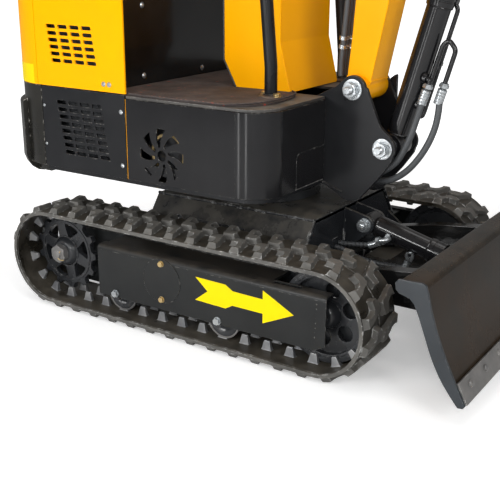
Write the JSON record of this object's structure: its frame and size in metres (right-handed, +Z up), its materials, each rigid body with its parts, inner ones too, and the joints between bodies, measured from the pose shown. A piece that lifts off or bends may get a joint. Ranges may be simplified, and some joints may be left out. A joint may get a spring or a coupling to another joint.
{
  "type": "mini excavator",
  "caption": "Tracked mini excavator with a slewing house, canopy over an open seat, dozer blade, and a boom, arm and bucket worked by hydraulic cylinders",
  "frame": {"origin": "middle of the bounding box of the whole machine, on the ground under the tracks", "axes": "+X forward, towards the boom and blade; +Y to the operator's left; +Z up"},
  "size_m": [2.349, 0.93, 2.202],
  "materials": {
    "yellow_paint": "satin",
    "black_paint": "satin",
    "grey_paint": "satin",
    "cast_iron": "rough",
    "track_rubber": "matte",
    "hose_rubber": "satin",
    "mat_rubber": "matte",
    "zinc_steel": "zinc plated",
    "chrome_rod": "polished",
    "seat_vinyl": "matte",
    "roof_plastic": "satin"
  },
  "bodies": {
    "undercarriage": {"rubber_track_right": "track_rubber", "track_frame_right": "black_paint", "drive_sprocket_right": "cast_iron", "idler_wheel_right": "cast_iron", "travel_motor_right": "cast_iron", "rubber_track_left": "track_rubber", "track_frame_left": "black_paint", "drive_sprocket_left": "cast_iron", "idler_wheel_left": "cast_iron", "travel_motor_left": "cast_iron", "chassis_frame": "black_paint", "slew_ring_lower": "cast_iron", "blade_hose_rear": "hose_rubber", "blade_hose_front": "hose_rubber"},
    "blade": {"dozer_blade": "grey_paint"},
    "blade_cylinder_barrel": {"blade_cylinder_barrel": "black_paint"},
    "blade_cylinder_rod": {"blade_cylinder_rod": "chrome_rod"},
    "house": {"slew_ring_upper": "cast_iron", "turntable_frame": "black_paint", "floor_plate": "black_paint", "front_skirt_right": "black_paint", "engine_side_panel_right": "black_paint", "front_skirt_left": "black_paint", "engine_side_panel_left": "black_paint", "counterweight": "black_paint", "engine_hood": "yellow_paint", "engine_block": "cast_iron", "floor_mat": "mat_rubber", "seat_box": "black_paint", "seat_cushion": "seat_vinyl", "seat_backrest": "seat_vinyl", "console_cowl": "yellow_paint", "control_levers": "black_paint", "canopy_post_front_right": "black_paint", "canopy_post_rear_right": "black_paint", "canopy_post_front_left": "black_paint", "canopy_post_rear_left": "black_paint", "canopy_roof": "roof_plastic", "boom_foot_pin": "zinc_steel", "boom_cylinder_pin": "zinc_steel", "boom_hose_rear": "hose_rubber", "boom_hose_front": "hose_rubber"},
    "rear_door": {"rear_door": "yellow_paint"},
    "boom": {"boom": "yellow_paint"},
    "boom_cylinder_barrel": {"boom_cylinder_barrel": "black_paint"},
    "boom_cylinder_rod": {"boom_cylinder_rod": "chrome_rod"},
    "arm": {"arm": "yellow_paint", "arm_pin": "zinc_steel", "bucket_pin": "zinc_steel"},
    "arm_cylinder_barrel": {"arm_cylinder_barrel": "black_paint"},
    "arm_cylinder_rod": {"arm_cylinder_rod": "chrome_rod"},
    "bucket": {"bucket": "black_paint"},
    "bucket_rocker": {"bucket_rocker": "cast_iron"},
    "bucket_link": {"bucket_link": "cast_iron"},
    "bucket_cylinder_barrel": {"bucket_cylinder_barrel": "black_paint"},
    "bucket_cylinder_rod": {"bucket_cylinder_rod": "chrome_rod"}
  },
  "joints": [
    {"name": "house_slew", "type": "hinge", "parent": "undercarriage", "child": "house", "pos_m": [-0.49152, 0, 0.394], "axis": [0, 0, 1], "continuous": true},
    {"name": "boom_lift", "type": "hinge", "parent": "house", "child": "boom", "pos_m": [-0.14152, 0, 0.685], "axis": [0, -1, 0], "range_deg": [-95, 18]},
    {"name": "arm_swing", "type": "hinge", "parent": "boom", "child": "arm", "pos_m": [0.52417, 0, 1.76768], "axis": [0, 1, 0], "range_deg": [-72, 35]},
    {"name": "bucket_curl", "type": "hinge", "parent": "arm", "child": "bucket", "pos_m": [1.01269, 0, 1.18549], "axis": [0, 1, 0], "range_deg": [-94, 36]},
    {"name": "blade_lift", "type": "hinge", "parent": "undercarriage", "child": "blade", "pos_m": [-0.13952, 0, 0.196], "axis": [0, -1, 0], "range_deg": [-14, 8]},
    {"name": "rear_door_hinge", "type": "hinge", "parent": "house", "child": "rear_door", "pos_m": [-1.16852, 0.219, 0.75], "axis": [0, 0, -1], "range_deg": [0, 100]},
    {"name": "boom_cylinder_tilt", "type": "hinge", "parent": "house", "child": "boom_cylinder_barrel", "pos_m": [-0.04452, 0, 0.533], "axis": [0, 1, 0], "range_deg": [-18.3, 94.45], "deforming": ["boom_hose_rear", "boom_hose_front"]},
    {"name": "boom_cylinder_stroke", "type": "slide", "parent": "boom_cylinder_barrel", "child": "boom_cylinder_rod", "axis": [0.2623, 0, 0.965], "range_m": [-0.2515, 0.0493]},
    {"name": "arm_cylinder_tilt", "type": "hinge", "parent": "boom", "child": "arm_cylinder_barrel", "pos_m": [-0.14796, 0, 1.37079], "axis": [0, 1, 0], "range_deg": [-2.32, 4.25]},
    {"name": "arm_cylinder_stroke", "type": "slide", "parent": "arm_cylinder_barrel", "child": "arm_cylinder_rod", "axis": [0.7559, 0, 0.6546], "range_m": [-0.1446, 0.0713]},
    {"name": "blade_cylinder_tilt", "type": "hinge", "parent": "undercarriage", "child": "blade_cylinder_barrel", "pos_m": [-0.10652, 0, 0.298], "axis": [0, 1, 0], "range_deg": [-8.46, 14.44], "deforming": ["blade_hose_rear", "blade_hose_front"]},
    {"name": "blade_cylinder_stroke", "type": "slide", "parent": "blade_cylinder_barrel", "child": "blade_cylinder_rod", "axis": [0.9665, 0, -0.2567], "range_m": [-0.0169, 0.0281]},
    {"name": "bucket_cylinder_tilt", "type": "hinge", "parent": "arm", "child": "bucket_cylinder_barrel", "pos_m": [0.63762, 0, 1.76627], "axis": [0, 1, 0], "range_deg": [-2.31, 1.19]},
    {"name": "bucket_cylinder_stroke", "type": "slide", "parent": "bucket_cylinder_barrel", "child": "bucket_cylinder_rod", "axis": [0.6876, 0, -0.7261], "range_m": [-0.1885, 0.0734]},
    {"name": "rocker_swing", "type": "hinge", "parent": "arm", "child": "bucket_rocker", "pos_m": [0.90342, 0, 1.31571], "axis": [0, 1, 0], "range_deg": [-94.5, 36.5]},
    {"name": "link_swing", "type": "hinge", "parent": "bucket_rocker", "child": "bucket_link", "pos_m": [1.04129, 0, 1.34002], "axis": [0, 1, 0], "range_deg": [-36.5, 94.5]}
  ],
  "couplings": [
    {"joint": "boom_cylinder_tilt", "follows": "boom_lift", "ratio": -0.98891},
    {"joint": "boom_cylinder_stroke", "follows": "boom_lift", "m_per_rad": 0.15046},
    {"joint": "arm_cylinder_tilt", "follows": "arm_swing", "ratio": -0.052043},
    {"joint": "arm_cylinder_stroke", "follows": "arm_swing", "m_per_rad": 0.1135},
    {"joint": "blade_cylinder_tilt", "follows": "blade_lift", "ratio": -0.99557},
    {"joint": "blade_cylinder_stroke", "follows": "blade_lift", "m_per_rad": -0.10686},
    {"joint": "bucket_cylinder_tilt", "follows": "bucket_curl", "ratio": 0.019222},
    {"joint": "bucket_cylinder_stroke", "follows": "bucket_curl", "m_per_rad": 0.11367},
    {"joint": "rocker_swing", "follows": "bucket_curl", "ratio": 1},
    {"joint": "link_swing", "follows": "bucket_curl", "ratio": -1}
  ]
}
